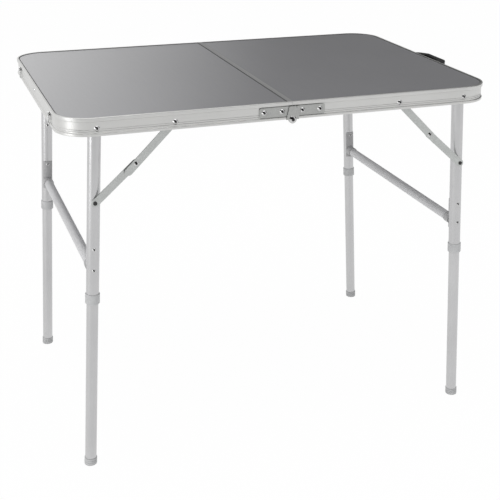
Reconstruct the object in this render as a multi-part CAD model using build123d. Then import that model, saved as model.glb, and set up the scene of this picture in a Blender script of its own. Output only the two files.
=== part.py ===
from build123d import *
from math import cos, radians, sin, tan
import os

# A folding camping table: two half tops in aluminium channel, hinged at the seam,
# with a braced leg frame under each half. Millimetres, +Z up, X along the length.

# Overall sizes
TABLE_LENGTH = 900.0
TABLE_DEPTH = 612.0
TABLE_HEIGHT = 735.0

# Channel frame of each half top
FRAME_HEIGHT = 35.0
FRAME_WALL = 4.0
FRAME_RECESS = 2.2
FRAME_TOP_BEAD = 7.0
FRAME_LOW_BEAD = 5.0
FRAME_BEAD_ROUND = 1.2
FRAME_GROOVE_DROPS = (22.5, 26.0)
FRAME_GROOVE_DEPTH = 0.4
FRAME_GROOVE_WIDTH = 1.2
CORNER_RADIUS = 65.0
SHELF_WIDTH = 6.0
SHELF_THICK = 1.5

# Boards and seam trims
PANEL_THICK = 4.0
PANEL_SET_DOWN = 1.0
SEAM_GAP = 0.4
TRIM_THICK = 1.6
TRIM_FOOT = 11.0
LIP_REACH = 8.0
LIP_THICK = 0.8

# Seam hinges
LEAF_LENGTH = 68.0
LEAF_HEIGHT = 20.0
LEAF_THICK = 1.9
LEAF_ROUND = 4.0
HINGE_EYE_RADIUS = 8.0
HINGE_NOTCH_CLEAR = 2.0
HINGE_PIN_RADIUS = 3.0
HINGE_HEAD_RADIUS = 7.4
HINGE_HEAD_HEIGHT = 3.2
LOBE_HALF_WIDTH = 13.0
LOBE_TOP_HALF_WIDTH = 7.0
HINGE_SCREW_NEAR = 21.0
HINGE_SCREW_FAR = 58.0

# Domed fasteners
DOME_RADIUS = 5.2
DOME_HEIGHT = 2.6
SCREW_RADIUS = 2.4
SCREW_TAIL = 1.5
TAIL_SPREAD = 1.6

# Leg frames
LEG_BEYOND_CORNER = 5.0
LEG_PIVOT_DROP = 20.5
LEG_SPLAY = 3.2
UPPER_DIAMETER = 25.0
UPPER_WALL = 0.8
LOWER_DIAMETER = 23.0
LOWER_WALL = 1.0
PIVOT_RADIUS = 2.5
PIVOT_SLEEVE_RADIUS = 4.5
PIVOT_NUT_HEIGHT = 3.0
COLLAR_HEIGHT = 20.0
COLLAR_RADIUS = 14.2
COLLAR_NOSE = 6.0
COLLAR_CENTRE_HEIGHT = 369.0
LOWER_OVERLAP = 11.0
FOOT_HEIGHT = 15.0
FOOT_RADIUS = 12.7
FOOT_SOLE = 5.0
FOOT_SOLE_ROUND = 1.5
FOOT_GROOVES = 2
FOOT_GROOVE_PITCH = 4.0
FOOT_GROOVE_RADIUS = 0.7
LOCK_LENGTH = 30.0

# Crossbars and their saddles
CROSSBAR_ABOVE_COLLAR = 61.0
CROSSBAR_DIAMETER = 20.0
CROSSBAR_WALL = 1.2
SADDLE_THICK = 1.5
SADDLE_HALF_ANGLE = 58.0
SADDLE_UP = 50.0
SADDLE_DOWN = 16.0
SOCKET_LENGTH = 16.0
SOCKET_WALL = 1.6
SADDLE_RIVET_UP = 43.0
RIVET_RADIUS = 2.0
RIVET_HEAD_RADIUS = 3.4
RIVET_HEAD_HEIGHT = 1.6

# Folding braces
BRACE_REACH = 147.0
BRACE_KINK = 1.5
LINK_WIDTH = 15.0
LINK_THICK = 2.0
LINK_TAIL = 21.0
LINK_WALL_GAP = 2.5
LINK_GAP = 2.6
LINK_LEG_GAP = 2.0
LINK_PIN_RADIUS = 2.4
LINK_SPACER_RADIUS = 4.0
LINK_SPACER = 1.2
LINK_HEAD_HEIGHT = 0.9
MID_HEAD_RADIUS = 4.6
MID_HEAD_HEIGHT = 1.8
MID_TAIL_HEIGHT = 1.2

# Carrying handle and catches on the two ends
HANDLE_LENGTH = 140.0
HANDLE_REACH = 38.0
HANDLE_GRIP = 14.0
HANDLE_HEIGHT = 18.0
HANDLE_DROP = 14.0
HANDLE_FOOT = 20.0
HANDLE_ROUND = 3.0
HANDLE_RIB_COUNT = 7
HANDLE_RIB_RADIUS = 2.0
HANDLE_RIB_PITCH = 9.0
HANDLE_SCREW_DEPTH = 7.0
CATCH_SPACING = 400.0
CATCH_PIVOT_DROP = 14.0
CATCH_LENGTH = 20.0
CATCH_WIDTH = 13.0
CATCH_TIP_WIDTH = 8.0
CATCH_THICK = 1.5
CATCH_PIN_RADIUS = 2.0
CATCH_HEAD_RADIUS = 4.0
CATCH_HEAD_HEIGHT = 1.2
CATCH_SLOT_RADIUS = 3.2
CATCH_MOUTH = 5.2
CATCH_STUD_RADIUS = 2.8

# Clearances
RUNNING_CLEAR = 0.1
FACE_CLEAR = 0.2
SLIDE_CLEAR = 0.1
SEAT_CLEAR = 0.3
CUT_OVERRUN = 1.0

# Places worked out from the sizes above
HALF_LENGTH = TABLE_LENGTH / 2
HALF_DEPTH = TABLE_DEPTH / 2
TOP_Z = TABLE_HEIGHT
FRAME_LOW_Z = TOP_Z - FRAME_HEIGHT
PANEL_TOP_Z = TOP_Z - PANEL_SET_DOWN
PANEL_LOW_Z = PANEL_TOP_Z - PANEL_THICK
SEAM_X = SEAM_GAP / 2
INNER_FACE = HALF_DEPTH - FRAME_WALL
WEB_FACE = HALF_DEPTH - FRAME_RECESS
LOBE_IN = HALF_DEPTH + FACE_CLEAR
LOBE_OUT = LOBE_IN + LEAF_THICK
LEG_X = HALF_LENGTH - CORNER_RADIUS - LEG_BEYOND_CORNER
PIVOT_Z = TOP_Z - LEG_PIVOT_DROP
LEG_RADIUS = UPPER_DIAMETER / 2
UPPER_LINK_OUT = INNER_FACE - LINK_WALL_GAP
UPPER_LINK_IN = UPPER_LINK_OUT - LINK_THICK
LOWER_LINK_OUT = UPPER_LINK_IN - LINK_GAP
LOWER_LINK_IN = LOWER_LINK_OUT - LINK_THICK
LEG_OUT_FACE = LOWER_LINK_IN - LINK_LEG_GAP
LEG_Y = LEG_OUT_FACE - LEG_RADIUS
SPLAY_COS = cos(radians(LEG_SPLAY))
FOOT_REACH = PIVOT_Z / SPLAY_COS
COLLAR_END = (PIVOT_Z - COLLAR_CENTRE_HEIGHT) / SPLAY_COS + COLLAR_HEIGHT / 2
UPPER_REACH = COLLAR_END - COLLAR_NOSE
LOWER_TOP = COLLAR_END - LOWER_OVERLAP
CROSSBAR_HEIGHT = COLLAR_CENTRE_HEIGHT + CROSSBAR_ABOVE_COLLAR
CROSSBAR_REACH = (PIVOT_Z - CROSSBAR_HEIGHT) / SPLAY_COS
FOLD_ANGLE = 90.0 + LEG_SPLAY
LINK_LENGTH = BRACE_REACH * sin(radians(FOLD_ANGLE / 2)) / cos(radians(BRACE_KINK))
LINK_ANGLE = 90.0 - FOLD_ANGLE / 2 + BRACE_KINK
CATCH_REACH = SEAT_CLEAR + CATCH_THICK + FACE_CLEAR + CATCH_HEAD_HEIGHT
HANDLE_OUT = HANDLE_REACH - FRAME_RECESS
ORIGIN_SHIFT = (CATCH_REACH - HANDLE_OUT) / 2
LEAF_MID_Z = FRAME_LOW_Z + FRAME_LOW_BEAD + FRAME_RECESS / 2 + LEAF_HEIGHT / 2 + SEAT_CLEAR
END_WEB = HALF_LENGTH - FRAME_RECESS
END_INNER = HALF_LENGTH - FRAME_WALL
CATCH_Y = CATCH_SPACING / 2
CATCH_Z = TOP_Z - CATCH_PIVOT_DROP
HANDLE_Z = TOP_Z - HANDLE_DROP
WEB_TOP_Z = TOP_Z - FRAME_TOP_BEAD - FRAME_RECESS / 2
HANDLE_SCREW_Y = HANDLE_LENGTH / 2 - HANDLE_FOOT / 2


def y_rod(x, z, y_from, y_to, radius):
    """A round bar along Y."""
    low = min(y_from, y_to)
    plane = Plane(origin=(x, low, z), x_dir=(1, 0, 0), z_dir=(0, 1, 0))
    return plane * Cylinder(radius, abs(y_to - y_from), align=(Align.CENTER, Align.CENTER, Align.MIN))


def x_rod(y, z, x_from, x_to, radius):
    """A round bar along X."""
    low = min(x_from, x_to)
    plane = Plane(origin=(low, y, z), x_dir=(0, 1, 0), z_dir=(1, 0, 0))
    return plane * Cylinder(radius, abs(x_to - x_from), align=(Align.CENTER, Align.CENTER, Align.MIN))


def z_tube(x, y, z_from, z_to, radius, bore=0.0):
    """A round bar or tube along Z."""
    low = min(z_from, z_to)
    base = Pos(x, y, low)
    flat = (Align.CENTER, Align.CENTER, Align.MIN)
    bar = base * Cylinder(radius, abs(z_to - z_from), align=flat)
    if bore > 0:
        bar -= base * Cylinder(bore, abs(z_to - z_from), align=flat)
    return bar


def dome(radius, height):
    """A domed head standing on the XY plane, rising along +Z."""
    ball = (radius * radius + height * height) / (2 * height)
    cap = Pos(0, 0, height - ball) * Sphere(ball)
    keep = Cylinder(radius + height, height, align=(Align.CENTER, Align.CENTER, Align.MIN))
    return cap & keep


def front_dome(x, z, y_seat, radius, height):
    """A domed head on a face that looks to -Y."""
    plane = Plane(origin=(x, y_seat, z), x_dir=(1, 0, 0), z_dir=(0, -1, 0))
    return plane * dome(radius, height)


def flip_x(shape):
    """The same shape on the other half of the table."""
    return mirror(shape, about=Plane.YZ)


def flip_y(shape):
    """The same shape at the other long side."""
    return mirror(shape, about=Plane.XZ)


def both_sides(shape):
    """A front shape together with its rear twin, as separate solids."""
    return group([shape, flip_y(shape)])


def group(shapes):
    """Several separate solids as one compound."""
    solids = []
    for shape in shapes:
        solids.extend(shape.solids())
    return Compound(children=solids)


def put_leg(shape):
    """Turns a piece drawn on a plumb left leg to the leg's splay about its pivot."""
    return Pos(-LEG_X, 0, PIVOT_Z) * Rot(0, LEG_SPLAY, 0) * Pos(LEG_X, 0, -PIVOT_Z) * shape


# The left half top
def channel_profile():
    """The channel's section: round beads above and below a set-back, grooved web, and the board's shelf."""
    low = -FRAME_HEIGHT
    grooves = []
    for drop in FRAME_GROOVE_DROPS:
        grooves.append((-FRAME_RECESS, -drop + FRAME_GROOVE_WIDTH / 2))
        grooves.append((-FRAME_RECESS - FRAME_GROOVE_DEPTH, -drop))
        grooves.append((-FRAME_RECESS, -drop - FRAME_GROOVE_WIDTH / 2))
    shelf_top = PANEL_LOW_Z - TOP_Z
    bead_low = -FRAME_TOP_BEAD
    bead_up = low + FRAME_LOW_BEAD
    corners = [
        (-FRAME_WALL, 0),
        (0, 0),
        (0, bead_low),
        (-FRAME_RECESS, bead_low - FRAME_RECESS / 2),
        *grooves,
        (-FRAME_RECESS, bead_up + FRAME_RECESS / 2),
        (0, bead_up),
        (0, low),
        (-FRAME_WALL, low),
        (-FRAME_WALL, shelf_top - SHELF_THICK),
        (-FRAME_WALL - SHELF_WIDTH, shelf_top - SHELF_THICK),
        (-FRAME_WALL - SHELF_WIDTH, shelf_top),
        (-FRAME_WALL, shelf_top),
    ]
    section = make_face(Polyline(*corners, close=True))
    outer = [v for v in section.vertices() if abs(v.X) < FRAME_BEAD_ROUND / 10]
    return fillet(outer, FRAME_BEAD_ROUND)


def frame_blank():
    """The channel bent round three sides of the left half, open at the seam."""
    path = FilletPolyline(
        (-SEAM_X, -HALF_DEPTH),
        (-HALF_LENGTH, -HALF_DEPTH),
        (-HALF_LENGTH, HALF_DEPTH),
        (-SEAM_X, HALF_DEPTH),
        radius=CORNER_RADIUS,
    )
    start = Plane(origin=(-SEAM_X, -HALF_DEPTH, 0), x_dir=(0, -1, 0), z_dir=(-1, 0, 0))
    return Pos(0, 0, TOP_Z) * sweep(start * channel_profile(), path=path)


def side_holes():
    """Holes for the leg and brace pivots, the hinge screws and the hinge's notch, at the front."""
    out = -HALF_DEPTH - CUT_OVERRUN
    inside = -INNER_FACE + CUT_OVERRUN
    cuts = y_rod(-LEG_X, PIVOT_Z, out, inside, PIVOT_RADIUS)
    cuts += y_rod(-LEG_X + BRACE_REACH, PIVOT_Z, out, inside, LINK_PIN_RADIUS)
    for reach in (HINGE_SCREW_NEAR, HINGE_SCREW_FAR):
        cuts += y_rod(-reach, LEAF_MID_Z, out, inside, SCREW_RADIUS)
    cuts += y_rod(0, FRAME_LOW_Z, out, inside, HINGE_EYE_RADIUS + HINGE_NOTCH_CLEAR)
    return cuts


def half_frame(end_cuts):
    """One half's channel with its holes; end_cuts are those of the end face, on the left."""
    return frame_blank() - side_holes() - flip_y(side_holes()) - end_cuts


def half_panel():
    """The board, its long edges on the channel's shelf and its seam edge in the trim."""
    whole = extrude(
        RectangleRounded(
            TABLE_LENGTH - 2 * FRAME_WALL, TABLE_DEPTH - 2 * FRAME_WALL, CORNER_RADIUS - FRAME_WALL
        ),
        PANEL_THICK,
    )
    reach = HALF_LENGTH - SEAM_X - TRIM_THICK
    keep = Box(reach, TABLE_DEPTH, PANEL_THICK, align=(Align.MAX, Align.CENTER, Align.MIN))
    board = whole & (Pos(-SEAM_X - TRIM_THICK, 0, 0) * keep)
    return Pos(0, 0, PANEL_LOW_Z) * board


def seam_trim(lip):
    """The angle along the board's seam edge; lip adds the cover strip over the other half's edge."""
    long = 2 * (INNER_FACE - FACE_CLEAR)
    short = 2 * (INNER_FACE - SHELF_WIDTH - SEAT_CLEAR)
    to_seam = (Align.MAX, Align.CENTER, Align.MIN)
    edge = Pos(-SEAM_X, 0, PANEL_LOW_Z) * Box(TRIM_THICK, long, PANEL_THICK, align=to_seam)
    foot = Pos(-SEAM_X, 0, PANEL_LOW_Z - SHELF_THICK) * Box(TRIM_FOOT, short, SHELF_THICK, align=to_seam)
    trim = edge + foot
    if lip:
        span = LIP_REACH + SEAM_GAP + TRIM_THICK
        rise = TOP_Z - PANEL_TOP_Z
        post = Pos(-SEAM_X, 0, PANEL_TOP_Z) * Box(TRIM_THICK, long, rise, align=to_seam)
        strip = Box(span, long, LIP_THICK, align=(Align.MIN, Align.CENTER, Align.MAX))
        trim += post + Pos(-SEAM_X - TRIM_THICK, 0, TOP_Z) * strip
    return trim


# Seam hinges, drawn at the front
def leaf_plate(start):
    """A hinge leaf's plate in the channel's recess, from start to its far end, on the left half."""
    plate = Box(LEAF_LENGTH - start, LEAF_THICK, LEAF_HEIGHT, align=(Align.MAX, Align.MAX, Align.CENTER))
    plate = Pos(-start, -WEB_FACE, LEAF_MID_Z) * plate
    plate = fillet(plate.edges().filter_by(Axis.Y).group_by(Axis.X)[0], LEAF_ROUND)
    for reach in (HINGE_SCREW_NEAR, HINGE_SCREW_FAR):
        plate -= y_rod(-reach, LEAF_MID_Z, -HALF_DEPTH - CUT_OVERRUN, -INNER_FACE, SCREW_RADIUS)
    return plate


def leaf_web(half_low, half_top, y_out, thick):
    """The tapered web that brings a leaf down to the hinge eye, centred on the seam."""
    top = LEAF_MID_Z + LEAF_HEIGHT / 2
    outline = Polyline(
        (-half_low, FRAME_LOW_Z), (-half_top, top), (half_top, top), (half_low, FRAME_LOW_Z), close=True
    )
    face = Plane(origin=(0, y_out, 0), x_dir=(1, 0, 0), z_dir=(0, -1, 0)) * make_face(outline)
    web = extrude(face, -thick)
    web += y_rod(0, FRAME_LOW_Z, y_out, y_out + thick, HINGE_EYE_RADIUS)
    return web


def left_leaf():
    """The left leaf: a flat plate whose eye lies in the channel's own plane."""
    y_out = -WEB_FACE - LEAF_THICK
    web = leaf_web(HINGE_EYE_RADIUS, HINGE_EYE_RADIUS, y_out, LEAF_THICK)
    web &= Pos(-SEAM_X, 0, 0) * Box(
        2 * LEAF_LENGTH, TABLE_DEPTH, 4 * TOP_Z, align=(Align.MAX, Align.CENTER, Align.CENTER)
    )
    eye = y_rod(0, FRAME_LOW_Z, y_out, -WEB_FACE, HINGE_EYE_RADIUS)
    leaf = leaf_plate(SEAM_X) + web + eye
    return leaf - y_rod(0, FRAME_LOW_Z, y_out, -WEB_FACE, HINGE_PIN_RADIUS)


def right_leaf():
    """The right leaf, jogged outwards over the left one, with the raised lobe that covers the seam."""
    start = HINGE_EYE_RADIUS + SEAT_CLEAR
    plate = flip_x(leaf_plate(start))
    lobe = leaf_web(LOBE_HALF_WIDTH, LOBE_TOP_HALF_WIDTH, -LOBE_OUT, LEAF_THICK)
    step = Box(LOBE_HALF_WIDTH - start, LOBE_OUT - WEB_FACE, LEAF_HEIGHT)
    jog = Pos((LOBE_HALF_WIDTH + start) / 2, -(LOBE_OUT + WEB_FACE) / 2, LEAF_MID_Z) * step
    bore = y_rod(0, FRAME_LOW_Z, -LOBE_OUT, -LOBE_IN, HINGE_PIN_RADIUS + RUNNING_CLEAR)
    return plate + lobe + jog - bore


def hinge_pin():
    """The domed hinge rivet: head outside, tail inside the left eye."""
    seat = -LOBE_OUT - FACE_CLEAR
    pin = front_dome(0, FRAME_LOW_Z, seat, HINGE_HEAD_RADIUS, HINGE_HEAD_HEIGHT)
    pin += y_rod(0, FRAME_LOW_Z, seat, -WEB_FACE, HINGE_PIN_RADIUS)
    return pin + y_rod(0, FRAME_LOW_Z, -WEB_FACE, -WEB_FACE + SCREW_TAIL, HINGE_PIN_RADIUS * TAIL_SPREAD)


def hinge_screws():
    """The left front leaf's two screws with their riveted-over tails."""
    screws = []
    for reach in (HINGE_SCREW_NEAR, HINGE_SCREW_FAR):
        seat = -WEB_FACE - LEAF_THICK
        screw = front_dome(-reach, LEAF_MID_Z, seat, DOME_RADIUS, DOME_HEIGHT)
        screw += y_rod(-reach, LEAF_MID_Z, seat, -INNER_FACE, SCREW_RADIUS)
        screw += y_rod(-reach, LEAF_MID_Z, -INNER_FACE, -INNER_FACE + SCREW_TAIL, SCREW_RADIUS * TAIL_SPREAD)
        screws.append(screw)
    return screws


# The left leg frame, drawn plumb at the front and then splayed
def leg_z(reach):
    """Height of a point this far down a plumb leg from its pivot."""
    return PIVOT_Z - reach


def upper_leg():
    """The upper tube, rounded about the pivot, with holes for the pivot and the rivets."""
    bore = LEG_RADIUS - UPPER_WALL
    tube = z_tube(-LEG_X, -LEG_Y, leg_z(UPPER_REACH), PIVOT_Z + LEG_RADIUS, LEG_RADIUS, bore)
    outside = y_rod(-LEG_X, PIVOT_Z, -LEG_Y - UPPER_DIAMETER, -LEG_Y + UPPER_DIAMETER, LEG_RADIUS)
    below = Pos(-LEG_X, -LEG_Y, PIVOT_Z) * Box(
        2 * UPPER_DIAMETER, 2 * UPPER_DIAMETER, UPPER_REACH, align=(Align.CENTER, Align.CENTER, Align.MAX)
    )
    tube = tube & (outside + below)
    far = UPPER_DIAMETER
    tube -= y_rod(-LEG_X, PIVOT_Z, -LEG_Y - far, -LEG_Y + far, PIVOT_RADIUS + RUNNING_CLEAR)
    tube -= y_rod(-LEG_X, leg_z(BRACE_REACH), -LEG_Y - far, -LEG_Y, LINK_PIN_RADIUS)
    tube -= y_rod(-LEG_X, leg_z(BRACE_REACH), -LEG_Y, -LEG_Y + far, RIVET_RADIUS)
    for reach in saddle_rivet_reaches():
        tube -= y_rod(-LEG_X, leg_z(reach), -LEG_Y - far, -LEG_Y + far, RIVET_RADIUS)
    return put_leg(tube)


def saddle_rivet_reaches():
    """How far down the leg the saddle's rivets are: one above the crossbar, one on its axis."""
    return (CROSSBAR_REACH - SADDLE_RIVET_UP, CROSSBAR_REACH)


def saddle():
    """The bracket on the leg's inner side: a curved tab riveted to the tube and the crossbar's socket."""
    outer = LEG_RADIUS + SADDLE_THICK
    top = leg_z(CROSSBAR_REACH - SADDLE_UP)
    low = leg_z(CROSSBAR_REACH + SADDLE_DOWN)
    shell = z_tube(-LEG_X, -LEG_Y, low, top, outer, LEG_RADIUS)
    side = 2 * outer
    half_span = side * tan(radians(SADDLE_HALF_ANGLE / 2))
    fan = make_face(Polyline((0, 0), (-half_span * 2, side), (half_span * 2, side), close=True))
    shell &= Pos(-LEG_X, -LEG_Y, low) * extrude(fan, top - low)
    bar = CROSSBAR_DIAMETER / 2
    socket_from = -LEG_Y + LEG_RADIUS
    socket_to = -LEG_Y + outer + SOCKET_LENGTH
    socket = y_rod(-LEG_X, leg_z(CROSSBAR_REACH), socket_from, socket_to, bar + SOCKET_WALL)
    socket -= z_tube(-LEG_X, -LEG_Y, low, top, LEG_RADIUS)
    bracket = shell + socket
    bracket -= y_rod(-LEG_X, leg_z(CROSSBAR_REACH), -LEG_Y + outer, socket_to, bar)
    bracket -= y_rod(-LEG_X, leg_z(CROSSBAR_REACH - SADDLE_RIVET_UP), -LEG_Y, socket_to, RIVET_RADIUS)
    bracket -= y_rod(-LEG_X, leg_z(CROSSBAR_REACH), -LEG_Y, socket_to, RIVET_RADIUS)
    return put_leg(bracket)


def crossbar():
    """The tube between the front and the rear leg, its ends in the saddles' sockets."""
    reach = LEG_Y - LEG_RADIUS - SADDLE_THICK
    bar = y_rod(-LEG_X, leg_z(CROSSBAR_REACH), -reach, reach, CROSSBAR_DIAMETER / 2)
    bar -= y_rod(-LEG_X, leg_z(CROSSBAR_REACH), -reach, reach, CROSSBAR_DIAMETER / 2 - CROSSBAR_WALL)
    return put_leg(bar)


def leg_rivets():
    """The front leg's rivets: the brace's pivot, the saddle's outer rivets and those of the inner side."""
    bore = LEG_RADIUS - UPPER_WALL
    rivets = []
    pin_z = leg_z(BRACE_REACH)
    head = -LOWER_LINK_OUT - RUNNING_CLEAR
    pin = y_rod(-LEG_X, pin_z, head, -LEG_Y - bore, LINK_PIN_RADIUS)
    pin += y_rod(-LEG_X, pin_z, head - LINK_HEAD_HEIGHT, head, LINK_SPACER_RADIUS)
    spacer = y_rod(-LEG_X, pin_z, -LOWER_LINK_IN + RUNNING_CLEAR, -LEG_Y, LINK_SPACER_RADIUS)
    pin += spacer - z_tube(-LEG_X, -LEG_Y, pin_z - LEG_RADIUS, pin_z + LEG_RADIUS, LEG_RADIUS)
    rivets.append(put_leg(pin))
    for reach in saddle_rivet_reaches():
        z = leg_z(reach)
        seat = -LEG_Y - LEG_RADIUS
        out = front_dome(-LEG_X, z, seat, RIVET_HEAD_RADIUS, RIVET_HEAD_HEIGHT)
        out += y_rod(-LEG_X, z, seat, -LEG_Y, RIVET_HEAD_RADIUS)
        out -= z_tube(-LEG_X, -LEG_Y, z - LEG_RADIUS, z + LEG_RADIUS, LEG_RADIUS)
        out += y_rod(-LEG_X, z, seat, -LEG_Y - bore, RIVET_RADIUS)
        rivets.append(put_leg(out))
    rivets.append(inner_rivet(pin_z, LEG_RADIUS))
    rivets.append(inner_rivet(leg_z(CROSSBAR_REACH - SADDLE_RIVET_UP), LEG_RADIUS + SADDLE_THICK))
    return rivets


def inner_rivet(z, seat):
    """A blind rivet in the leg's inner side, its domed head on a round face of radius seat."""
    bore = LEG_RADIUS - UPPER_WALL
    rivet = flip_y(front_dome(-LEG_X, z, LEG_Y - seat, RIVET_HEAD_RADIUS, RIVET_HEAD_HEIGHT))
    rivet += y_rod(-LEG_X, z, -LEG_Y, -LEG_Y + seat, RIVET_HEAD_RADIUS)
    rivet -= z_tube(-LEG_X, -LEG_Y, z - LEG_RADIUS, z + LEG_RADIUS, seat)
    rivet += y_rod(-LEG_X, z, -LEG_Y + bore, -LEG_Y + seat, RIVET_RADIUS)
    return put_leg(rivet)


def collar():
    """The moulded collar on the upper tube's end, with a nose that guides the lower tube."""
    top = leg_z(COLLAR_END - COLLAR_HEIGHT)
    low = leg_z(COLLAR_END)
    body = z_tube(-LEG_X, -LEG_Y, low, top, COLLAR_RADIUS)
    body = fillet(body.edges(), (COLLAR_RADIUS - LEG_RADIUS) / 2)
    body -= z_tube(-LEG_X, -LEG_Y, leg_z(UPPER_REACH), top, LEG_RADIUS)
    body -= z_tube(-LEG_X, -LEG_Y, low, top, LOWER_DIAMETER / 2 + SLIDE_CLEAR)
    return put_leg(body)


def lower_leg():
    """The lower tube, from inside the collar down into the foot."""
    radius = LOWER_DIAMETER / 2
    low = leg_z(FOOT_REACH - FOOT_SOLE - radius * tan(radians(LEG_SPLAY)))
    return put_leg(z_tube(-LEG_X, -LEG_Y, low, leg_z(LOWER_TOP), radius, radius - LOWER_WALL))


def foot():
    """The moulded cap on the lower tube, ringed with grooves, its sole cut level with the floor."""
    radius = LOWER_DIAMETER / 2
    tilt = radius * tan(radians(LEG_SPLAY))
    low = leg_z(FOOT_REACH + FOOT_HEIGHT)
    cap = z_tube(-LEG_X, -LEG_Y, low, leg_z(FOOT_REACH - FOOT_HEIGHT), FOOT_RADIUS)
    cap -= z_tube(-LEG_X, -LEG_Y, leg_z(FOOT_REACH - FOOT_SOLE - tilt), leg_z(FOOT_REACH - FOOT_HEIGHT), radius)
    ring = Torus(FOOT_RADIUS, FOOT_GROOVE_RADIUS)
    for i in range(FOOT_GROOVES):
        reach = FOOT_REACH - FOOT_HEIGHT + (i + 1) * FOOT_GROOVE_PITCH
        cap -= Pos(-LEG_X, -LEG_Y, leg_z(reach)) * ring
    above = Box(TABLE_LENGTH * 2, TABLE_DEPTH * 2, TOP_Z, align=(Align.CENTER, Align.CENTER, Align.MIN))
    cap = put_leg(cap) & above
    return fillet(cap.faces().sort_by(Axis.Z)[0].edges(), FOOT_SOLE_ROUND)


def leg_lock():
    """The expander in the lower tube's top end: a split plug on its screw."""
    radius = LOWER_DIAMETER / 2 - LOWER_WALL
    top = leg_z(LOWER_TOP)
    low = leg_z(LOWER_TOP + LOCK_LENGTH)
    plug = z_tube(-LEG_X, -LEG_Y, low, top, radius)
    slot = Box(LOWER_DIAMETER, LOWER_WALL, LOCK_LENGTH / 2, align=(Align.CENTER, Align.CENTER, Align.MAX))
    plug -= Pos(-LEG_X, -LEG_Y, top) * slot
    return put_leg(plug)


# The folding brace, drawn at the left front
def link_bar(tail):
    """A flat link along +X from its pivot at the origin, round ended, with its two holes."""
    reach = LINK_LENGTH + tail
    bar = SlotCenterToCenter(reach, LINK_WIDTH)
    bar = Pos(reach / 2, 0) * bar
    bar -= Circle(LINK_PIN_RADIUS + RUNNING_CLEAR)
    bar -= Pos(LINK_LENGTH, 0) * Circle(LINK_PIN_RADIUS)
    return extrude(bar, LINK_THICK)


def link_plane(origin_x, origin_z, y_face, angle):
    """A plane on the XZ plane at y_face whose X axis points angle degrees up from +X, looking to -Y."""
    return Plane(
        origin=(origin_x, y_face, origin_z),
        x_dir=(cos(radians(angle)), 0, sin(radians(angle))),
        z_dir=(0, -1, 0),
    )


def upper_link_plane(y_face):
    """The upper link runs from the frame's brace pivot down and outwards."""
    return link_plane(-LEG_X + BRACE_REACH, PIVOT_Z, y_face, 180.0 + LINK_ANGLE)


def lower_link_plane(y_face):
    """The lower link runs from the leg's rivet up and inwards to the middle rivet."""
    turn = radians(LEG_SPLAY)
    x = -LEG_X - BRACE_REACH * sin(turn)
    z = PIVOT_Z - BRACE_REACH * cos(turn)
    return link_plane(x, z, y_face, 90.0 - LEG_SPLAY - LINK_ANGLE)


def upper_link():
    """The link on the frame, outside the other one, with a tail past the middle rivet."""
    return upper_link_plane(-UPPER_LINK_IN) * link_bar(LINK_TAIL)


def lower_link():
    """The link on the leg."""
    return lower_link_plane(-LOWER_LINK_IN) * link_bar(0)


def mid_rivet_head():
    """The middle rivet's headed half, fixed in the upper link."""
    plane = upper_link_plane(-UPPER_LINK_IN) * Pos(LINK_LENGTH, 0, 0)
    flat = (Align.CENTER, Align.CENTER, Align.MIN)
    rivet = Cylinder(LINK_PIN_RADIUS, LINK_THICK, align=flat)
    rivet += Pos(0, 0, LINK_THICK) * dome(MID_HEAD_RADIUS, MID_HEAD_HEIGHT)
    rivet += Pos(0, 0, -LINK_SPACER) * Cylinder(LINK_SPACER_RADIUS, LINK_SPACER, align=flat)
    return plane * rivet


def mid_rivet_tail():
    """The middle rivet's other half, fixed in the lower link."""
    plane = lower_link_plane(-LOWER_LINK_IN) * Pos(LINK_LENGTH, 0, 0)
    flat = (Align.CENTER, Align.CENTER, Align.MIN)
    rivet = Cylinder(LINK_PIN_RADIUS, LINK_THICK, align=flat)
    rivet += Pos(0, 0, LINK_THICK) * Cylinder(LINK_SPACER_RADIUS, LINK_SPACER, align=flat)
    rivet += Rot(180, 0, 0) * dome(MID_HEAD_RADIUS - MID_TAIL_HEIGHT / 2, MID_TAIL_HEIGHT)
    return plane * rivet


def pivot_bolts():
    """The front leg's pivot bolt and the brace's pivot on the channel, each with its sleeve."""
    leg = front_dome(-LEG_X, PIVOT_Z, -WEB_FACE, DOME_RADIUS, DOME_HEIGHT)
    nut = -LEG_Y + LEG_RADIUS + SEAT_CLEAR
    leg += y_rod(-LEG_X, PIVOT_Z, -WEB_FACE, nut, PIVOT_RADIUS)
    leg += y_rod(-LEG_X, PIVOT_Z, -INNER_FACE, -LEG_OUT_FACE - FACE_CLEAR, PIVOT_SLEEVE_RADIUS)
    leg += flip_y(front_dome(-LEG_X, PIVOT_Z, -nut, PIVOT_SLEEVE_RADIUS, PIVOT_NUT_HEIGHT))
    x = -LEG_X + BRACE_REACH
    brace = front_dome(x, PIVOT_Z, -WEB_FACE, DOME_RADIUS, DOME_HEIGHT)
    end = -UPPER_LINK_IN + RUNNING_CLEAR
    brace += y_rod(x, PIVOT_Z, -WEB_FACE, end, LINK_PIN_RADIUS)
    brace += y_rod(x, PIVOT_Z, -INNER_FACE, -UPPER_LINK_OUT - RUNNING_CLEAR, LINK_SPACER_RADIUS)
    brace += y_rod(x, PIVOT_Z, end, end + LINK_HEAD_HEIGHT, LINK_SPACER_RADIUS)
    return [leg, brace]


# End fittings
def end_dome(y, z, x_seat, radius, height):
    """A domed head on a face that looks to -X."""
    plane = Plane(origin=(x_seat, y, z), x_dir=(0, -1, 0), z_dir=(-1, 0, 0))
    return plane * dome(radius, height)


def left_end_cuts():
    """Holes in the left end for the catches' rivets and the middle screw."""
    cuts = x_rod(0, CATCH_Z, -HALF_LENGTH, -END_INNER, SCREW_RADIUS)
    for y in (-CATCH_Y, CATCH_Y):
        cuts += x_rod(y, CATCH_Z, -HALF_LENGTH, -END_INNER, CATCH_PIN_RADIUS)
    return cuts


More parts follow.
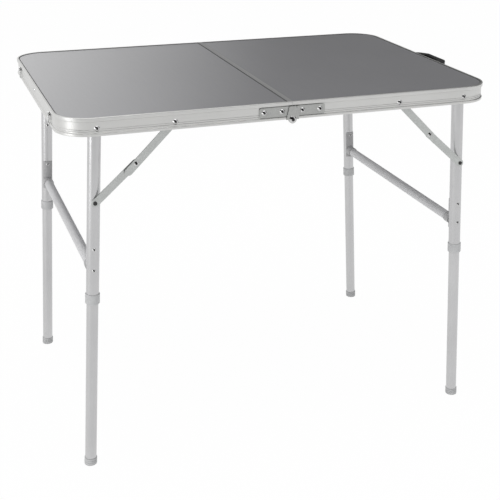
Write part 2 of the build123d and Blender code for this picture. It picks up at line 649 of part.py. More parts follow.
def right_end_cuts():
    """Holes in the right end, drawn on the left, for the catch studs and the handle's screws."""
    cuts = x_rod(CATCH_Y, CATCH_Z, -HALF_LENGTH, -END_INNER, CATCH_PIN_RADIUS)
    cuts += x_rod(-CATCH_Y, CATCH_Z, -HALF_LENGTH, -END_INNER, CATCH_PIN_RADIUS)
    for y in (-HANDLE_SCREW_Y, HANDLE_SCREW_Y):
        cuts += x_rod(y, HANDLE_Z, -HALF_LENGTH, -END_INNER, SCREW_RADIUS)
    return cuts


def catch(y):
    """A swinging catch plate that hangs from its rivet, with a hook notch for the stud."""
    x_in = -HALF_LENGTH - SEAT_CLEAR
    half = CATCH_WIDTH / 2
    tip = CATCH_TIP_WIDTH / 2
    outline = Polyline((-half, 0), (half, 0), (tip, -CATCH_LENGTH), (-tip, -CATCH_LENGTH), close=True)
    face = make_face(outline) + Circle(half)
    face = fillet(face.vertices().sort_by(Axis.Y)[:2], tip / 2)
    face -= Circle(CATCH_PIN_RADIUS + RUNNING_CLEAR)
    notch = Pos(0, -CATCH_LENGTH + 2 * CATCH_SLOT_RADIUS) * Circle(CATCH_SLOT_RADIUS)
    notch += Pos(CATCH_SLOT_RADIUS, -CATCH_LENGTH + 2 * CATCH_SLOT_RADIUS) * Rectangle(
        2 * CATCH_SLOT_RADIUS, CATCH_MOUTH
    )
    face -= notch
    plane = Plane(origin=(x_in, y, CATCH_Z), x_dir=(0, -1, 0), z_dir=(-1, 0, 0))
    return extrude(plane * face, CATCH_THICK)


def catch_rivet(y):
    """The rivet that a catch swings on, with its spacer on the web."""
    out = -HALF_LENGTH - SEAT_CLEAR
    seat = out - CATCH_THICK - FACE_CLEAR
    rivet = x_rod(y, CATCH_Z, seat, -END_INNER, CATCH_PIN_RADIUS)
    rivet += x_rod(y, CATCH_Z, out + RUNNING_CLEAR, -END_WEB, CATCH_HEAD_RADIUS)
    return rivet + end_dome(y, CATCH_Z, seat, CATCH_HEAD_RADIUS, CATCH_HEAD_HEIGHT)


def catch_stud(y):
    """The headed stud on the other end that a catch hooks over, drawn on the left."""
    out = -HALF_LENGTH - SEAT_CLEAR - CATCH_THICK - FACE_CLEAR
    stud = x_rod(y, CATCH_Z, -END_WEB, -END_INNER, CATCH_PIN_RADIUS)
    stud += x_rod(y, CATCH_Z, out, -END_WEB, CATCH_STUD_RADIUS)
    return stud + end_dome(y, CATCH_Z, out, CATCH_HEAD_RADIUS, CATCH_HEAD_HEIGHT)


def end_screw():
    """The screw in the middle of the left end."""
    screw = end_dome(0, CATCH_Z, -END_WEB, DOME_RADIUS, DOME_HEIGHT)
    return screw + x_rod(0, CATCH_Z, -END_WEB, -END_INNER, SCREW_RADIUS)


def handle():
    """The moulded bow on the right end, its feet set under the bead, with grooves along its grip."""
    half = HANDLE_LENGTH / 2
    span = half - HANDLE_FOOT
    inside = HANDLE_REACH - HANDLE_GRIP
    outer = Polyline(
        (0, -half), (inside, -half + inside / 2), (HANDLE_REACH, -span + inside / 2),
        (HANDLE_REACH, span - inside / 2), (inside, half - inside / 2), (0, half), close=True,
    )
    bow = make_face(outer)
    bow = fillet(bow.vertices().group_by(Axis.X)[1], HANDLE_GRIP)
    bow = fillet(bow.vertices().group_by(Axis.X)[-1], HANDLE_GRIP / 2)
    gap = make_face(Polyline(
        (0, -span), (inside, -span + inside), (inside, span - inside), (0, span), close=True,
    ))
    gap = fillet(gap.vertices().group_by(Axis.X)[-1], HANDLE_GRIP / 2)
    bow -= gap
    for i in range(HANDLE_RIB_COUNT):
        y = (i - (HANDLE_RIB_COUNT - 1) / 2) * HANDLE_RIB_PITCH
        bow -= Pos(inside - HANDLE_RIB_RADIUS / 2, y) * Circle(HANDLE_RIB_RADIUS)
    body = extrude(bow, HANDLE_HEIGHT / 2, both=True)
    rim = [e for e in body.edges().filter_by(Axis.Z, reverse=True) if e.center().X > inside + HANDLE_GRIP / 2]
    body = fillet(rim, HANDLE_ROUND)
    body = Pos(END_WEB, 0, HANDLE_Z) * body
    rebate = Box(
        FRAME_RECESS + FACE_CLEAR, 2 * HANDLE_LENGTH, HANDLE_HEIGHT, align=(Align.MIN, Align.CENTER, Align.MIN)
    )
    body -= Pos(END_WEB, 0, WEB_TOP_Z - FACE_CLEAR) * rebate
    for y in (-HANDLE_SCREW_Y, HANDLE_SCREW_Y):
        body -= x_rod(y, HANDLE_Z, END_WEB, END_WEB + HANDLE_SCREW_DEPTH, SCREW_RADIUS)
    return body


def handle_screw(y):
    """A screw driven from inside the channel into the handle's foot."""
    screw = x_rod(y, HANDLE_Z, END_INNER, END_WEB + HANDLE_SCREW_DEPTH, SCREW_RADIUS)
    return screw + end_dome(y, HANDLE_Z, END_INNER, DOME_RADIUS, DOME_HEIGHT)


def build():
    """Every node of the table by name."""
    nodes = {}
    halves = (("left", lambda shape: shape), ("right", flip_x))
    sides = (("front", lambda shape: shape), ("rear", flip_y))
    nodes["left_frame"] = half_frame(left_end_cuts())
    nodes["right_frame"] = flip_x(half_frame(right_end_cuts()))
    nodes["left_seam_trim"] = seam_trim(lip=False)
    nodes["right_seam_trim"] = flip_x(seam_trim(lip=True))
    for side, to_side in sides:
        nodes[f"left_{side}_hinge_leaf"] = to_side(left_leaf())
        nodes[f"right_{side}_hinge_leaf"] = to_side(right_leaf())
    nodes["hinge_pins"] = both_sides(hinge_pin())
    for half, to_half in halves:
        nodes[f"{half}_panel"] = to_half(half_panel())
        nodes[f"{half}_hinge_screws"] = to_half(both_sides(group(hinge_screws())))
        nodes[f"{half}_pivot_bolts"] = to_half(both_sides(group(pivot_bolts())))
        nodes[f"{half}_crossbar"] = to_half(crossbar())
        nodes[f"{half}_crossbar_saddles"] = to_half(both_sides(saddle()))
        nodes[f"{half}_leg_rivets"] = to_half(both_sides(group(leg_rivets())))
        nodes[f"{half}_collars"] = to_half(both_sides(collar()))
        nodes[f"{half}_brace_rivet_heads"] = to_half(both_sides(mid_rivet_head()))
        nodes[f"{half}_brace_rivet_tails"] = to_half(both_sides(mid_rivet_tail()))
        for side, to_side in sides:
            name = f"{half}_{side}"
            nodes[f"{name}_upper_leg"] = to_half(to_side(upper_leg()))
            nodes[f"{name}_lower_leg"] = to_half(to_side(lower_leg()))
            nodes[f"{name}_foot"] = to_half(to_side(foot()))
            nodes[f"{name}_leg_lock"] = to_half(to_side(leg_lock()))
            nodes[f"{name}_upper_link"] = to_half(to_side(upper_link()))
            nodes[f"{name}_lower_link"] = to_half(to_side(lower_link()))
    nodes["front_catch"] = catch(-CATCH_Y)
    nodes["rear_catch"] = flip_y(catch(-CATCH_Y))
    nodes["catch_rivets"] = group([catch_rivet(-CATCH_Y), catch_rivet(CATCH_Y)])
    nodes["catch_studs"] = flip_x(group([catch_stud(-CATCH_Y), catch_stud(CATCH_Y)]))
    nodes["end_screw"] = end_screw()
    nodes["handle"] = handle()
    nodes["handle_screws"] = group([handle_screw(-HANDLE_SCREW_Y), handle_screw(HANDLE_SCREW_Y)])
    return nodes


def main():
    os.makedirs("parts", exist_ok=True)
    for name, shape in build().items():
        placed = [Pos(ORIGIN_SHIFT, 0, 0) * solid for solid in shape.solids()]
        whole = placed[0] if len(placed) == 1 else Compound(children=placed)
        export_step(whole, f"parts/{name}.step")


main()
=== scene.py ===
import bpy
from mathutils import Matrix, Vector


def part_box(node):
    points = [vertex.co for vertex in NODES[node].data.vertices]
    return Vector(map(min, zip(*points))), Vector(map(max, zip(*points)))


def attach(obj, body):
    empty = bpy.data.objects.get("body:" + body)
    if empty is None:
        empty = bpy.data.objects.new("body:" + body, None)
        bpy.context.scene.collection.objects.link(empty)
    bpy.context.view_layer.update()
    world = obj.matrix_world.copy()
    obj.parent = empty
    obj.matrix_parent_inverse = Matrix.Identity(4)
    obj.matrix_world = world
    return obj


bl_info = {
    "name": "Folding Camping Table",
    "version": (1, 0, 0),
    "blender": (4, 5, 0),
    "location": "View3D > Sidebar > Camping Table",
    "description": "Finishes and studio for a two-part folding camping table",
    "category": "Object",
}

import math

import bmesh
import bpy
from bpy.props import FloatProperty, FloatVectorProperty, PointerProperty
from mathutils import Matrix, Vector

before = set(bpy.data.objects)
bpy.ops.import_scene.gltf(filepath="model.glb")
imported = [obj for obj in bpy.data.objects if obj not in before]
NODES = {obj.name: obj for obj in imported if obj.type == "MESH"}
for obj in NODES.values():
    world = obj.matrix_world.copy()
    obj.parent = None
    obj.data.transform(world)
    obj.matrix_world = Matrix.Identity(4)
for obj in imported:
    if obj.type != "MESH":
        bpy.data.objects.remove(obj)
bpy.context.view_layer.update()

# Node groups by finish
CHANNELS = ("left_frame", "right_frame")
BOARDS = ("left_panel", "right_panel")
TRIMS = ("left_seam_trim", "right_seam_trim")
CROSSBARS = ("left_crossbar", "right_crossbar")

# Drawing lines to the metre along each axis, and the lean of the legs that their lines follow
CHANNEL_LINES = (3.0, 3.0, 1500.0)
TRIM_LINES = (1500.0, 3.0, 1500.0)
LEG_LINES = (1300.0, 1300.0, 4.0)
BAR_LINES = (60.0, 4.0, 60.0)
LEG_SPLAY = math.radians(3.2)
TARNISH = 0.1

# Painted shade: the dark bead along the boards' edges stands in for the shadow gap at the rim, and the
# dark strip beside the seam for the shadow under the seam's lip
BOARD_CORNER = 0.061
CORNER_STEPS = 14
SHADE_LINE_STEPS = 4
SHADE_LINE_RISE = 0.0008
SHADE_LINE_CLEAR = 0.00005
SEAM_SHADOW_WIDTH = 0.0042
SEAM_SHADOW_RISE = 0.0001
SEAM_SHADOW_SECTION = ((-0.5, 0.0), (-0.4, 1.0), (0.4, 1.0), (0.5, 0.0))

# Painted dark reflection in the middle of a rivet head, over the squared share of its face that looks
# along the rivet
PAINTED_REFLECTION_EDGE = (0.84, 0.0)
PAINTED_REFLECTION_MIDDLE = (0.92, 1.0)

# The studio's dim sides, which only reflections show: direction, start and end of the fall, share
DIM_SIDES = (
    ((-0.3, -0.88, 0.37), 0.5, 0.74, 1.0),
    ((0.87, 0.45, 0.2), 0.56, 0.75, 0.88),
)

# The softboxes: name, place, target, side length and power
SOFTBOXES = (
    ("overhead_softbox", (-0.3, -0.4, 2.9), (0.0, 0.0, 0.6), 2.4, 30.0),
    ("left_softbox", (-2.9, -1.1, 0.8), (-0.3, -0.2, 0.6), 1.2, 17.0),
)
WHITE = (1.0, 1.0, 1.0, 1.0)
FLOOR_TONE = (0.93, 0.93, 0.93, 1.0)
SENSOR_WIDTH = 36.0


def ending(*tails):
    """Names of the nodes that end in one of the given words."""
    return sorted(name for name in NODES if name.endswith(tails))


def colour_property(name, description, default):
    """A linear colour that a user may change."""
    return FloatVectorProperty(
        name=name, description=description, default=default, size=3, min=0.0, max=1.0, subtype="COLOR"
    )


class TableFinishes(bpy.types.PropertyGroup):
    """Colours and surface detail of the table's materials."""

    channel: colour_property("Channel", "Satin extruded aluminium of the rim", (0.65, 0.65, 0.638))
    board: colour_property("Board", "Grey laminate of the two half tops", (0.194, 0.194, 0.204))
    trim: colour_property("Seam trim", "Strip over the seam", (0.26, 0.26, 0.26))
    tube: colour_property("Tube", "Anodised leg tube", (0.57, 0.57, 0.575))
    crossbar: colour_property("Crossbar", "Smooth silver of the crossbars", (0.66, 0.66, 0.67))
    moulding: colour_property("Moulding", "Grey plastic of collars and feet", (0.54, 0.545, 0.55))
    bracket: colour_property("Bracket", "Painted crossbar bracket", (0.42, 0.42, 0.425))
    link: colour_property("Link", "Zinc plate on the brace links", (0.52, 0.535, 0.525))
    hinge: colour_property("Hinge", "Zinc plate on the hinges", (0.41, 0.415, 0.405))
    catch: colour_property("Catch", "Bright plate on the catches", (0.7, 0.705, 0.7))
    rivet: colour_property("Rivet", "Bright nickel of rivets and screws", (0.62, 0.62, 0.62))
    # Painted shade: colour of the dark lines that stand in for the shadow gap at the rim and the shadow
    # under the seam's lip
    shade_line_colour: colour_property("Shade", "Dark bead between the boards and the rim", (0.035, 0.035, 0.036))
    # Width of the painted shade line along the boards' edges
    shade_line_width: FloatProperty(
        name="Seal width", description="Width of the bead along the boards' edges",
        default=0.0021, min=0.0002, max=0.01, unit="LENGTH",
    )
    handle: colour_property("Handle", "Black plastic of the carrying handle", (0.007, 0.007, 0.0075))
    line_depth: FloatProperty(
        name="Drawing lines", description="Height of the fine lines that drawing leaves on metal",
        default=0.000008, min=0.0, max=0.001, unit="LENGTH",
    )
    grain_depth: FloatProperty(
        name="Moulded grain", description="Height of the grain on moulded plastic",
        default=0.00012, min=0.0, max=0.001, unit="LENGTH",
    )
    edge_round: FloatProperty(
        name="Edge round", description="Radius of the broken edges of sheet metal and plastic",
        default=0.0004, min=0.0, max=0.005, unit="LENGTH",
    )


class TableStage(bpy.types.PropertyGroup):
    """Camera, lamps and floor."""

    lens: FloatProperty(
        name="Lens", description="Focal length of the camera", default=74.116, min=10.0, unit="CAMERA"
    )
    yaw: FloatProperty(
        name="Yaw", description="Turn of the camera to the right of +Y", default=0.3621, subtype="ANGLE"
    )
    pitch: FloatProperty(
        name="Pitch", description="Tilt of the camera above the horizon", default=-0.3381, subtype="ANGLE"
    )
    roll: FloatProperty(
        name="Roll", description="Roll of the camera about its view", default=0.0122, subtype="ANGLE"
    )
    place: FloatVectorProperty(
        name="Camera place", description="Where the camera stands",
        default=(-0.7343, -2.0943, 1.2315), size=3, subtype="TRANSLATION",
    )
    shift: FloatVectorProperty(
        name="Lens shift", description="Sideways and upward shift of the lens",
        default=(-0.044, -0.12), size=2,
    )
    sky: FloatProperty(
        name="Sky", description="Level of the even studio light", default=0.62, min=0.0, max=4.0
    )
    floor_side: FloatProperty(
        name="Floor side", description="Side length of the floor", default=60.0, min=1.0, unit="LENGTH"
    )
    floor_white: FloatProperty(
        name="Floor white", description="Share of plain white that the floor shows to the camera",
        default=0.98, min=0.0, max=1.0, subtype="FACTOR",
    )


class Wire:
    """A shader socket that takes part in arithmetic by adding Math nodes."""

    def __init__(self, paint, socket):
        self.paint = paint
        self.socket = socket

    def _math(self, operation, first, second):
        return self.paint.node("ShaderNodeMath", {"operation": operation}, {0: first, 1: second})

    def __add__(self, other):
        return self._math("ADD", self, other)

    def __radd__(self, other):
        return self._math("ADD", other, self)

    def __sub__(self, other):
        return self._math("SUBTRACT", self, other)

    def __rsub__(self, other):
        return self._math("SUBTRACT", other, self)

    def __mul__(self, other):
        return self._math("MULTIPLY", self, other)


class Paint:
    """A node tree under construction; its node method adds any node."""

    def __init__(self, tree):
        self.tree = tree
        self.tree.nodes.clear()

    def node(self, kind, settings=None, sockets=None, output=0):
        """Adds a node: its settings first, then the values or links of its sockets."""
        made = self.tree.nodes.new(kind)
        for key, value in (settings or {}).items():
            if key == "stops":
                self._stops(made.color_ramp, value)
            else:
                setattr(made, key, value)
        for key, value in (sockets or {}).items():
            if isinstance(value, Wire):
                self.tree.links.new(value.socket, made.inputs[key])
            else:
                made.inputs[key].default_value = value
        return Wire(self, made.outputs[output]) if made.outputs else made

    @staticmethod
    def _stops(ramp, stops):
        while len(ramp.elements) < len(stops):
            ramp.elements.new(1.0)
        for element, (place, level) in zip(ramp.elements, stops):
            element.position = place
            element.color = (level, level, level, 1.0)

    def place(self):
        """Position on the piece at rest, in metres."""
        return self.node("ShaderNodeTexCoord", output="Object")

    def stretched(self, where, scale, turn=(0.0, 0.0, 0.0)):
        """The position turned and then scaled along each axis."""
        turned = self.node("ShaderNodeMapping", None, {"Vector": where, "Rotation": turn})
        return self.node("ShaderNodeVectorMath", {"operation": "MULTIPLY"}, {0: turned, 1: scale})

    def dot(self, first, second):
        """How far two directions agree."""
        return self.node(
            "ShaderNodeVectorMath", {"operation": "DOT_PRODUCT"}, {0: first, 1: second}, output=1
        )

    def noise(self, where, scale, detail=3.0, rough=0.5):
        """Soft noise from 0 to 1."""
        return self.node(
            "ShaderNodeTexNoise", None,
            {"Vector": where, "Scale": scale, "Detail": detail, "Roughness": rough},
        )

    def ramp(self, value, *stops):
        """A grey ramp over a value."""
        return self.node("ShaderNodeValToRGB", {"stops": stops}, {0: value})

    def blend(self, share, first, second):
        """A mix of two colours."""
        return self.node("ShaderNodeMix", {"data_type": "RGBA"}, {0: share, 6: first, 7: second}, output=2)

    def rounded(self, radius):
        """A normal that rounds the piece's edges."""
        return self.node("ShaderNodeBevel", {"samples": 4}, {"Radius": radius})

    def bump(self, height, depth, normal=None):
        """A normal raised by height times depth, on top of another normal."""
        sockets = {"Height": height, "Distance": depth, "Strength": 1.0}
        if normal is not None:
            sockets["Normal"] = normal
        return self.node("ShaderNodeBump", None, sockets)

    def surface(self, sockets):
        """The principled shader and the material's output."""
        shader = self.node("ShaderNodeBsdfPrincipled", None, sockets)
        return self.node("ShaderNodeOutputMaterial", None, {"Surface": shader})


def new_material(name):
    """An empty node material and its paint."""
    material = bpy.data.materials.new(name)
    material.use_nodes = True
    return material, Paint(material.node_tree)


def rgba(colour, level=1.0):
    """A property's colour as four numbers, lightened or darkened by level."""
    return tuple(min(1.0, part * level) for part in colour) + (1.0,)


def dress(names, material):
    """Puts a material on every slot of the named nodes."""
    for name in names:
        slots = NODES[name].data.materials
        slots.clear()
        slots.append(material)


def drawn_metal(name, colour, roughness, lines, relief, turn=0.0, metallic=0.9):
    """Satin metal with lines along its length, raised by relief and turned about the depth."""
    material, paint = new_material(name)
    where = paint.place()
    fine = paint.noise(paint.stretched(where, lines, (0.0, turn, 0.0)), 1.0, 4.0, 0.65)
    broad = paint.noise(where, 9.0, 3.0)
    cloud = paint.noise(where, 46.0, 4.0, 0.6)
    tone = fine * 0.45 + broad * 0.35 + cloud * 0.2
    base = paint.blend(
        paint.ramp(tone, (0.3, 0.0), (0.7, 1.0)),
        rgba(colour, 1.0 - TARNISH),
        rgba(colour, 1.0 + TARNISH * 0.6),
    )
    sockets = {
        "Base Color": base,
        "Metallic": metallic,
        "Roughness": roughness - 0.05 + fine * 0.07 + cloud * 0.06,
    }
    if relief:
        sockets["Normal"] = paint.bump(fine, relief)
    paint.surface(sockets)
    return material


def plated_steel(name, colour, roughness, finishes):
    """Zinc plate: cloudy, faintly spangled, with rolled edges."""
    material, paint = new_material(name)
    where = paint.place()
    spangle = paint.node(
        "ShaderNodeTexVoronoi", {"feature": "SMOOTH_F1"},
        {"Vector": where, "Scale": 420.0, "Smoothness": 0.6, "Randomness": 1.0},
    )
    cloud = paint.noise(where, 70.0, 5.0, 0.6)
    tone = cloud * 0.7 + spangle * 0.5
    base = paint.blend(paint.ramp(tone, (0.25, 0.0), (0.85, 1.0)), rgba(colour, 0.84), rgba(colour, 1.12))
    paint.surface({
        "Base Color": base,
        "Metallic": 0.85,
        "Roughness": roughness + cloud * 0.12 - 0.06,
        "Normal": paint.bump(cloud, finishes.line_depth, paint.rounded(finishes.edge_round)),
    })
    return material


def bright_nickel(name, colour):
    """Polished rivets with fine scuffs and a painted dark reflection in the middle of each head."""
    material, paint = new_material(name)
    where = paint.place()
    scuff = paint.noise(where, 900.0, 3.0, 0.7)
    cloud = paint.noise(where, 160.0, 2.0)
    outward = paint.node("ShaderNodeTexCoord", output="Normal")
    facing = paint.dot(outward, (0.0, 1.0, 0.0))
    # Painted dark reflection: the head's middle, where its face looks along Y, is darkened to near black
    painted_dark_reflection = paint.ramp(facing * facing, PAINTED_REFLECTION_EDGE, PAINTED_REFLECTION_MIDDLE)
    bright = paint.blend(cloud, rgba(colour, 0.86), rgba(colour, 1.1))
    base = paint.blend(painted_dark_reflection, bright, rgba(colour, 0.08))
    paint.surface({
        "Base Color": base,
        "Metallic": 1.0,
        "Roughness": 0.1 + scuff * 0.12,
        "Normal": paint.bump(scuff, 0.000004),
    })
    return material


def moulded_plastic(name, colour, roughness, grain, finishes):
    """Plastic with a fine spark grain, slightly lighter where it is rubbed."""
    material, paint = new_material(name)
    where = paint.place()
    spark = paint.noise(where, grain, 2.0, 0.6)
    cloud = paint.noise(where, 60.0, 4.0, 0.55)
    tone = cloud * 0.7 + spark * 0.3
    base = paint.blend(paint.ramp(tone, (0.3, 0.0), (0.7, 1.0)), rgba(colour, 0.88), rgba(colour, 1.12))
    paint.surface({
        "Base Color": base,
        "Roughness": roughness - 0.08 + spark * 0.1 + cloud * 0.06,
        "Normal": paint.bump(spark, finishes.grain_depth, paint.rounded(finishes.edge_round)),
    })
    return material


def grey_laminate(name, colour, finishes):
    """Laminate under a clear coat: a fine pearl fleck and a faint brushed direction along the depth."""
    material, paint = new_material(name)
    where = paint.place()
    brush = paint.noise(paint.stretched(where, (900.0, 14.0, 14.0)), 1.0, 3.0, 0.6)
    fleck = paint.noise(where, 1400.0, 2.0, 0.7)
    cloud = paint.noise(where, 5.0, 4.0, 0.5)
    tone = brush * 0.4 + fleck * 0.3 + cloud * 0.3
    base = paint.blend(paint.ramp(tone, (0.3, 0.0), (0.7, 1.0)), rgba(colour, 0.9), rgba(colour, 1.1))
    paint.surface({
        "Base Color": base,
        "Specular IOR Level": 0.6,
        "Coat Weight": 1.0,
        "Coat Roughness": 0.2,
        "Roughness": 0.3 + cloud * 0.06 + fleck * 0.05,
        "Normal": paint.bump(brush * 0.6 + fleck * 0.4, finishes.line_depth),
    })
    return material


class CAMPTABLE_OT_channels(bpy.types.Operator):
    """Extruded rim of both half tops, with drawing lines along the channel"""

    bl_idname = "camptable.channels"
    bl_label = "Channel Frames"

    def execute(self, context):
        finishes = context.scene.table_finishes
        dress(CHANNELS, drawn_metal(
            "channel_aluminium", finishes.channel, 0.34, CHANNEL_LINES, finishes.line_depth
        ))
        dress(TRIMS, drawn_metal(
            "seam_trim_aluminium", finishes.trim, 0.46, TRIM_LINES, finishes.line_depth, metallic=0.4
        ))
        return {"FINISHED"}


class CAMPTABLE_OT_boards(bpy.types.Operator):
    """Grey laminate boards of the two half tops"""

    bl_idname = "camptable.boards"
    bl_label = "Boards"

    def execute(self, context):
        finishes = context.scene.table_finishes
        dress(BOARDS, grey_laminate("board_laminate", finishes.board, finishes))
        return {"FINISHED"}


def rim_line(half, inset):
    """Points along a board's three outer edges, inset from the rim, from the front seam to the rear."""
    low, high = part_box(f"{half}_panel")
    out, sign = (low.x, -1.0) if half == "left" else (high.x, 1.0)
    seam = high.x if half == "left" else low.x
    radius = BOARD_CORNER - inset
    edge_x = out - sign * inset
    edge_y = high.y - inset
    points = [(seam, -edge_y)]
    for side in (-1.0, 1.0):
        for step in range(CORNER_STEPS + 1):
            turn = math.pi / 2 * step / CORNER_STEPS
            turn = math.pi / 2 - turn if side < 0 else turn
            x = edge_x - sign * radius * (1.0 - math.cos(turn))
            points.append((x, side * (edge_y - radius * (1.0 - math.sin(turn)))))
    points.append((seam, edge_y))
    return points


def add_piece(name, corners, faces, material, body):
    """A closed mesh piece that rides on a body."""
    mesh = bpy.data.meshes.new(name)
    mesh.from_pydata(corners, [], faces)
    shell = bmesh.new()
    shell.from_mesh(mesh)
    bmesh.ops.recalc_face_normals(shell, faces=shell.faces)
    shell.to_mesh(mesh)
    shell.free()
    mesh.materials.append(material)
    piece = bpy.data.objects.new(name, mesh)
    bpy.context.scene.collection.objects.link(piece)
    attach(piece, body)


def add_rim_shade_line(half, width, material):
    """A dark quarter-round bead on a board, against the rim: painted shade of the gap between board and
    rim.
    """
    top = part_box(f"{half}_panel")[1].z
    rows = []
    for step in range(SHADE_LINE_STEPS + 1):
        turn = math.pi / 2 * step / SHADE_LINE_STEPS
        inset = SHADE_LINE_CLEAR + width * (1.0 - math.cos(turn))
        height = top + SHADE_LINE_CLEAR + SHADE_LINE_RISE * (1.0 - math.sin(turn))
        rows.append([(x, y, height) for x, y in rim_line(half, inset)])
    rows.append([(x, y, top + SHADE_LINE_CLEAR) for x, y in rim_line(half, SHADE_LINE_CLEAR)])
    count = len(rows[0])
    corners = [point for row in rows for point in row]
    faces = []
    for row in range(len(rows)):
        after = (row + 1) % len(rows)
        for i in range(count - 1):
            faces.append((row * count + i, row * count + i + 1, after * count + i + 1, after * count + i))
    for i in (0, count - 1):
        faces.append([row * count + i for row in range(len(rows))])
    add_piece(f"{half}_board_rim_shade", corners, faces, material, f"{half}_top")


def add_seam_shadow_strip(width, material):
    """A thin dark strip on the left board, along the seam's cover lip: painted shadow of the lip."""
    lip_low, lip_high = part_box("right_seam_trim")
    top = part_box("left_panel")[1].z + SHADE_LINE_CLEAR
    middle = lip_low.x
    corners = []
    for y in (lip_low.y, lip_high.y):
        for across, up in SEAM_SHADOW_SECTION:
            corners.append((middle + across * width, y, top + up * SEAM_SHADOW_RISE))
    count = len(SEAM_SHADOW_SECTION)
    faces = [(i, (i + 1) % count, (i + 1) % count + count, i + count) for i in range(count)]
    faces += [tuple(range(count)), tuple(range(count, 2 * count))]
    add_piece("seam_lip_shadow", corners, faces, material, "left_top")


class CAMPTABLE_OT_painted_shade(bpy.types.Operator):
    """Painted shade: dark beads in the joint between each board and its rim, and the seam's dark strip as
    the painted shadow of the lip
    """

    bl_idname = "camptable.seals"
    bl_label = "Board Shades"

    def execute(self, context):
        finishes = context.scene.table_finishes
        # Painted shade: one near-black material for the lines in the board-rim gap and under the seam's
        # lip
        material = moulded_plastic("board_rim_shade", finishes.shade_line_colour, 0.6, 1800.0, finishes)
        for half in ("left", "right"):
            add_rim_shade_line(half, finishes.shade_line_width, material)
        add_seam_shadow_strip(SEAM_SHADOW_WIDTH, material)
        return {"FINISHED"}


class CAMPTABLE_OT_tubes(bpy.types.Operator):
    """Leg tubes and crossbars, drawn along their own axes"""

    bl_idname = "camptable.tubes"
    bl_label = "Leg Tubes"

    def execute(self, context):
        finishes = context.scene.table_finishes
        for half, turn in (("left", -LEG_SPLAY), ("right", LEG_SPLAY)):
            tube = drawn_metal(
                f"{half}_leg_aluminium", finishes.tube, 0.3, LEG_LINES, finishes.line_depth, turn
            )
            dress([name for name in ending("upper_leg", "lower_leg") if name.startswith(half)], tube)
        bar = drawn_metal(
            "crossbar_aluminium", finishes.crossbar, 0.5, BAR_LINES, relief=0.0, metallic=0.2
        )
        dress(CROSSBARS, bar)
        return {"FINISHED"}


class CAMPTABLE_OT_mouldings(bpy.types.Operator):
    """Collars, feet and leg locks in grey plastic, and the crossbar brackets"""

    bl_idname = "camptable.mouldings"
    bl_label = "Collars, Feet and Brackets"

    def execute(self, context):
        finishes = context.scene.table_finishes
        grey = moulded_plastic("grey_moulding", finishes.moulding, 0.46, 2400.0, finishes)
        dress(ending("collars", "foot", "leg_lock"), grey)
        bracket = moulded_plastic("bracket_paint", finishes.bracket, 0.4, 1700.0, finishes)
        dress(ending("crossbar_saddles"), bracket)
        return {"FINISHED"}


class CAMPTABLE_OT_links(bpy.types.Operator):
    """Zinc-plated brace links, seam hinges and catches"""

    bl_idname = "camptable.links"
    bl_label = "Links, Hinges and Catches"

    def execute(self, context):
        finishes = context.scene.table_finishes
        dress(ending("_link"), plated_steel("link_zinc", finishes.link, 0.36, finishes))
        dress(ending("hinge_leaf"), plated_steel("hinge_zinc", finishes.hinge, 0.3, finishes))
        dress(ending("_catch"), plated_steel("catch_nickel", finishes.catch, 0.2, finishes))
        return {"FINISHED"}


class CAMPTABLE_OT_fasteners(bpy.types.Operator):
    """Bright rivets, bolts, pins, studs and screws"""

    bl_idname = "camptable.fasteners"
    bl_label = "Fasteners"

    def execute(self, context):
        finishes = context.scene.table_finishes
        names = ending("rivets", "bolts", "pins", "screws", "screw", "studs", "rivet_heads", "rivet_tails")
        dress(names, bright_nickel("bright_nickel", finishes.rivet))
        return {"FINISHED"}


class CAMPTABLE_OT_handle(bpy.types.Operator):
    """Black moulded carrying handle"""

    bl_idname = "camptable.handle"
    bl_label = "Handle"

    def execute(self, context):
        finishes = context.scene.table_finishes
        dress(("handle",), moulded_plastic("handle_black", finishes.handle, 0.42, 1500.0, finishes))
        return {"FINISHED"}


def white_to_view(paint):
    """1 for rays that come from the camera, a mirror or glass, else 0."""
    path = "ShaderNodeLightPath"
    seen = paint.node(path, output="Is Camera Ray") + paint.node(path, output="Is Glossy Ray")
    seen = seen + paint.node(path, output="Is Transmission Ray")
    return paint.node("ShaderNodeMath", {"operation": "MINIMUM"}, {0: seen, 1: 1.0})


def add_sky(sky):
    """Even studio light with dim sides for reflections; the camera sees plain white."""
    world = bpy.data.worlds.new("studio_sky")
    world.use_nodes = True
    bpy.context.scene.world = world
    paint = Paint(world.node_tree)
    seen = white_to_view(paint)
    facing = paint.node("ShaderNodeTexCoord", output="Generated")
    mirrored = paint.node("ShaderNodeLightPath", output="Is Glossy Ray")
    level = sky + seen * (1.0 - sky)
    for side, start, end, share in DIM_SIDES:
        toward = paint.dot(facing, side)
        level = level * (1.0 - paint.ramp(toward, (start, 0.0), (end, 1.0)) * mirrored * share)
    light = paint.node("ShaderNodeBackground", None, {"Color": WHITE, "Strength": level})
    paint.node("ShaderNodeOutputWorld", None, {"Surface": light})


def add_floor(side, white):
    """A pale floor that shows white and keeps the table's shadow."""
    half = side / 2
    mesh = bpy.data.meshes.new("studio_floor")
    corners = [(-half, -half, 0.0), (half, -half, 0.0), (half, half, 0.0), (-half, half, 0.0)]
    mesh.from_pydata(corners, [], [(0, 1, 2, 3)])
    floor = bpy.data.objects.new("studio_floor", mesh)
    bpy.context.scene.collection.objects.link(floor)
    material, paint = new_material("studio_floor")
    cloth = paint.node("ShaderNodeBsdfDiffuse", None, {"Color": FLOOR_TONE})
    glow = paint.node("ShaderNodeEmission", None, {"Color": WHITE, "Strength": 1.0})
    both = paint.node("ShaderNodeMixShader", None, {0: white_to_view(paint) * white, 1: cloth, 2: glow})
    paint.node("ShaderNodeOutputMaterial", None, {"Surface": both})
    mesh.materials.append(material)


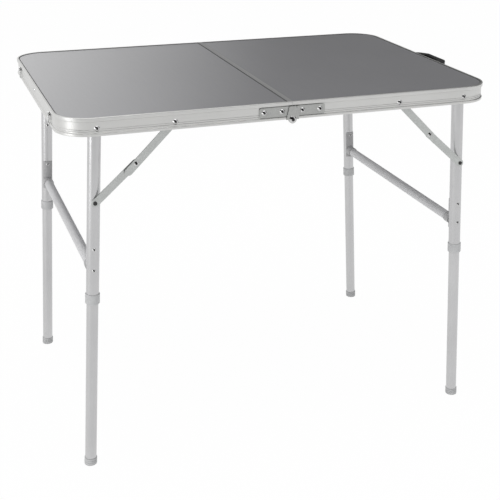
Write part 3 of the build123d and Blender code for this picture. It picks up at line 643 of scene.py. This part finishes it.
def add_softbox(name, place, target, size, power):
    """A square studio lamp that looks at target."""
    lamp = bpy.data.lights.new(name, "AREA")
    lamp.shape = "SQUARE"
    lamp.size = size
    lamp.energy = power
    holder = bpy.data.objects.new(name, lamp)
    holder.location = place
    holder.rotation_euler = (Vector(target) - Vector(place)).to_track_quat("-Z", "Y").to_euler()
    holder.visible_camera = False
    bpy.context.scene.collection.objects.link(holder)


def add_camera(stage):
    """The photograph's camera."""
    data = bpy.data.cameras.new("camera")
    data.lens = stage.lens
    data.sensor_width = SENSOR_WIDTH
    data.shift_x, data.shift_y = stage.shift
    data.clip_end = stage.floor_side * 2
    camera = bpy.data.objects.new("camera", data)
    turn = Matrix.Rotation(-stage.yaw, 4, "Z")
    turn @= Matrix.Rotation(math.pi / 2 + stage.pitch, 4, "X")
    turn @= Matrix.Rotation(stage.roll, 4, "Z")
    camera.matrix_world = Matrix.Translation(stage.place) @ turn
    bpy.context.scene.collection.objects.link(camera)
    bpy.context.scene.camera = camera


class CAMPTABLE_OT_stage(bpy.types.Operator):
    """White studio floor, soft lamps and the camera"""

    bl_idname = "camptable.stage"
    bl_label = "Studio"

    def execute(self, context):
        stage = context.scene.table_stage
        context.scene.view_settings.view_transform = "Standard"
        add_sky(stage.sky)
        add_floor(stage.floor_side, stage.floor_white)
        for softbox in SOFTBOXES:
            add_softbox(*softbox)
        add_camera(stage)
        return {"FINISHED"}


PIECE_OPERATORS = (
    CAMPTABLE_OT_channels,
    CAMPTABLE_OT_boards,
    CAMPTABLE_OT_painted_shade,
    CAMPTABLE_OT_tubes,
    CAMPTABLE_OT_mouldings,
    CAMPTABLE_OT_links,
    CAMPTABLE_OT_fasteners,
    CAMPTABLE_OT_handle,
    CAMPTABLE_OT_stage,
)


class CAMPTABLE_PT_panel(bpy.types.Panel):
    """Lists the table's pieces and their settings"""

    bl_idname = "CAMPTABLE_PT_panel"
    bl_label = "Camping Table"
    bl_space_type = "VIEW_3D"
    bl_region_type = "UI"
    bl_category = "Camping Table"

    def draw(self, context):
        for group in (context.scene.table_finishes, context.scene.table_stage):
            for name in group.__annotations__:
                self.layout.prop(group, name)
        for operator in PIECE_OPERATORS:
            self.layout.operator(operator.bl_idname)


CLASSES = (TableFinishes, TableStage, *PIECE_OPERATORS, CAMPTABLE_PT_panel)


def register():
    for item in CLASSES:
        bpy.utils.register_class(item)
    bpy.types.Scene.table_finishes = PointerProperty(type=TableFinishes)
    bpy.types.Scene.table_stage = PointerProperty(type=TableStage)


def unregister():
    del bpy.types.Scene.table_stage
    del bpy.types.Scene.table_finishes
    for item in reversed(CLASSES):
        bpy.utils.unregister_class(item)


def main():
    register()
    for operator in PIECE_OPERATORS:
        family, verb = operator.bl_idname.split(".")
        getattr(getattr(bpy.ops, family), verb)()


if __name__ == "__main__":
    main()
